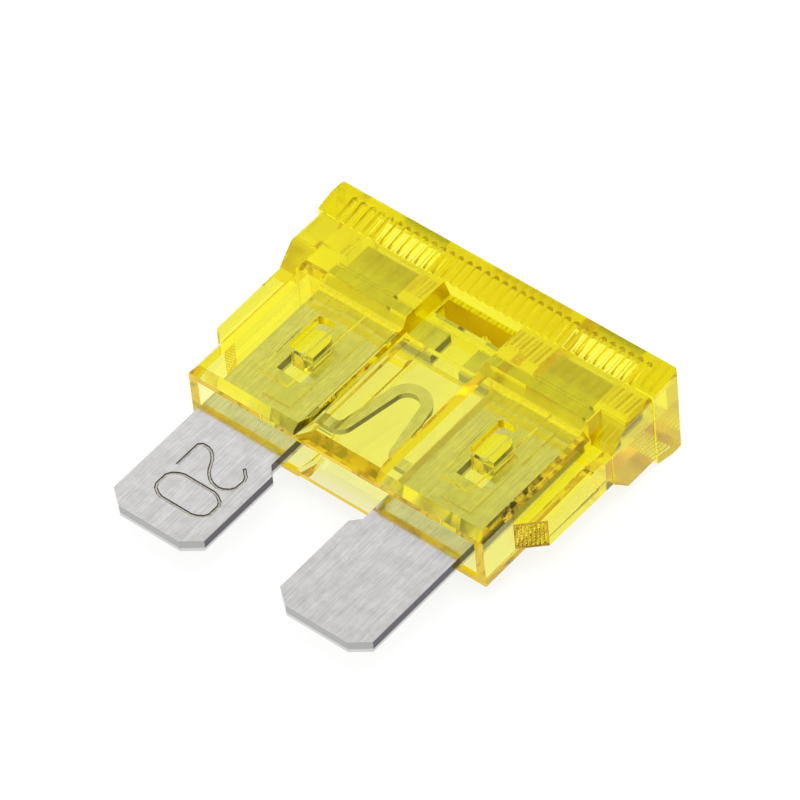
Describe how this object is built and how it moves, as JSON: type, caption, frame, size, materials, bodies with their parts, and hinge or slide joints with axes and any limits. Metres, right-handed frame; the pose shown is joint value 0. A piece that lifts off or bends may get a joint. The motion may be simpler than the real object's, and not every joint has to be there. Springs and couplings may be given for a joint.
{
  "type": "automotive blade fuse",
  "caption": "Plug-in blade fuse: transparent moulded housing with grip grooves over a stamped metal element, whose thin looped link joins two flat chamfered blades.",
  "frame": {"origin": "middle of the bounding box in X and Y, on the surface the fuse lies on", "axes": "+X across the width of the two blades, +Y from the blade tips to the head, +Z out of the front face; the fuse lies on its back"},
  "size_m": [0.019, 0.019, 0.005],
  "materials": {
    "housing_plastic": "transparent yellow polycarbonate, moulded glossy",
    "element_metal": "bare rolled zinc alloy with a fine lengthwise grain"
  },
  "bodies": {
    "root": {"housing": "housing_plastic", "fuse_element": "element_metal"}
  },
  "joints": []
}
